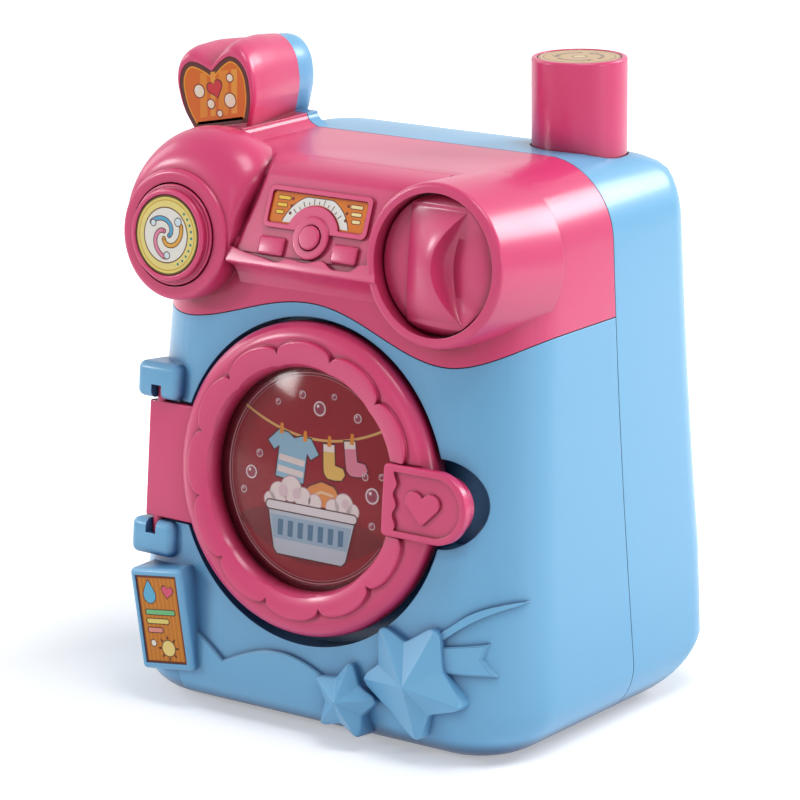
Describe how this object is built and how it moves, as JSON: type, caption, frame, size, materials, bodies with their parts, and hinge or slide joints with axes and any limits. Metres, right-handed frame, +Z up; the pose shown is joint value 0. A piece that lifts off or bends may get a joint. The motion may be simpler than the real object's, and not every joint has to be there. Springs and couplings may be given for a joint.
{
  "type": "toy washing machine",
  "caption": "Toy front-loading washing machine with a hinged round door, a turning dial, push buttons, a heart on top and a sprung plunger that spins the drum.",
  "frame": {"origin": "centre of the footprint on the surface that the toy stands on", "axes": "+Z up, the door faces -Y, +X to the right of someone who faces the door"},
  "size_m": [0.1604, 0.13, 0.2116],
  "materials": {
    "pink_plastic": "glossy moulded",
    "blue_plastic": "glossy moulded",
    "drum_plastic": "glossy moulded",
    "gear_plastic": "satin moulded",
    "steel": "zinc plated",
    "clear_plastic": "clear polished",
    "picture_print": "printed film",
    "amber_print": "printed film"
  },
  "bodies": {
    "housing": {"front_shell": "blue_plastic", "rear_shell": "blue_plastic", "top_hood": "pink_plastic", "heart_badge": "amber_print", "display_label": "amber_print", "picture_label": "amber_print", "rear_screw_low_left": "steel", "rear_screw_low_right": "steel", "rear_screw_middle_left": "steel", "rear_screw_middle_right": "steel", "rear_screw_top_left": "steel", "rear_screw_top_right": "steel", "drum_shaft": "steel", "idler_pin": "steel", "drum_shaft_clip": "steel", "idler_pin_clip": "steel", "gear_plate": "gear_plastic", "plate_screw_1": "steel", "plate_screw_2": "steel", "plate_screw_3": "steel", "plate_screw_4": "steel", "click_spring": "steel"},
    "door": {"door_ring": "pink_plastic", "door_handle": "pink_plastic", "door_window": "clear_plastic", "window_picture": "picture_print", "window_retainer": "pink_plastic"},
    "dial": {"dial_knob": "pink_plastic", "click_wheel": "gear_plastic", "dial_screw": "steel"},
    "left_push_button": {"left_button": "pink_plastic", "button_label": "amber_print", "button_clip": "steel", "button_spring": "steel"},
    "start_push_button": {"start_button": "pink_plastic", "start_spring": "steel"},
    "spin_plunger": {"plunger": "pink_plastic", "plunger_label": "amber_print", "rack": "gear_plastic", "plunger_spring": "steel"},
    "idler": {"idler_gear": "gear_plastic"},
    "wash_drum": {"drum": "drum_plastic", "drum_gear": "gear_plastic"}
  },
  "joints": [
    {"name": "door_hinge", "type": "hinge", "parent": "housing", "child": "door", "pos_m": [-0.061, -0.04927, 0.0824], "axis": [0, -0.1011, -0.9949], "range_deg": [0, 105]},
    {"name": "dial_turn", "type": "hinge", "parent": "housing", "child": "dial", "pos_m": [0.0485, -0.04277, 0.15622], "axis": [0, 0.9949, -0.1011], "continuous": true},
    {"name": "left_button_press", "type": "slide", "parent": "housing", "child": "left_push_button", "axis": [0, 0.9949, -0.1011], "range_m": [0, 0.003], "stiffness_N_per_m": 180, "springref_m": -0.004, "deforming": ["button_spring"]},
    {"name": "start_button_press", "type": "slide", "parent": "housing", "child": "start_push_button", "axis": [0, 0.9272, -0.3746], "range_m": [0, 0.0012], "stiffness_N_per_m": 220, "springref_m": -0.002, "deforming": ["start_spring"]},
    {"name": "plunger_press", "type": "slide", "parent": "housing", "child": "spin_plunger", "axis": [0, 0, -1], "range_m": [0, 0.022], "stiffness_N_per_m": 60, "springref_m": -0.03, "deforming": ["plunger_spring"]},
    {"name": "idler_spin", "type": "hinge", "parent": "housing", "child": "idler", "pos_m": [0.031, -0.05026, 0.10616], "axis": [0, 1, 0], "range_deg": [0, 168.2]},
    {"name": "drum_spin", "type": "hinge", "parent": "housing", "child": "wash_drum", "pos_m": [0, -0.05026, 0.0825], "axis": [0, 1, 0], "range_deg": [-560.1, 0]}
  ],
  "couplings": [
    {"joint": "plunger_press", "follows": "drum_spin", "m_per_rad": -0.00225},
    {"joint": "idler_spin", "follows": "drum_spin", "ratio": -0.3}
  ]
}
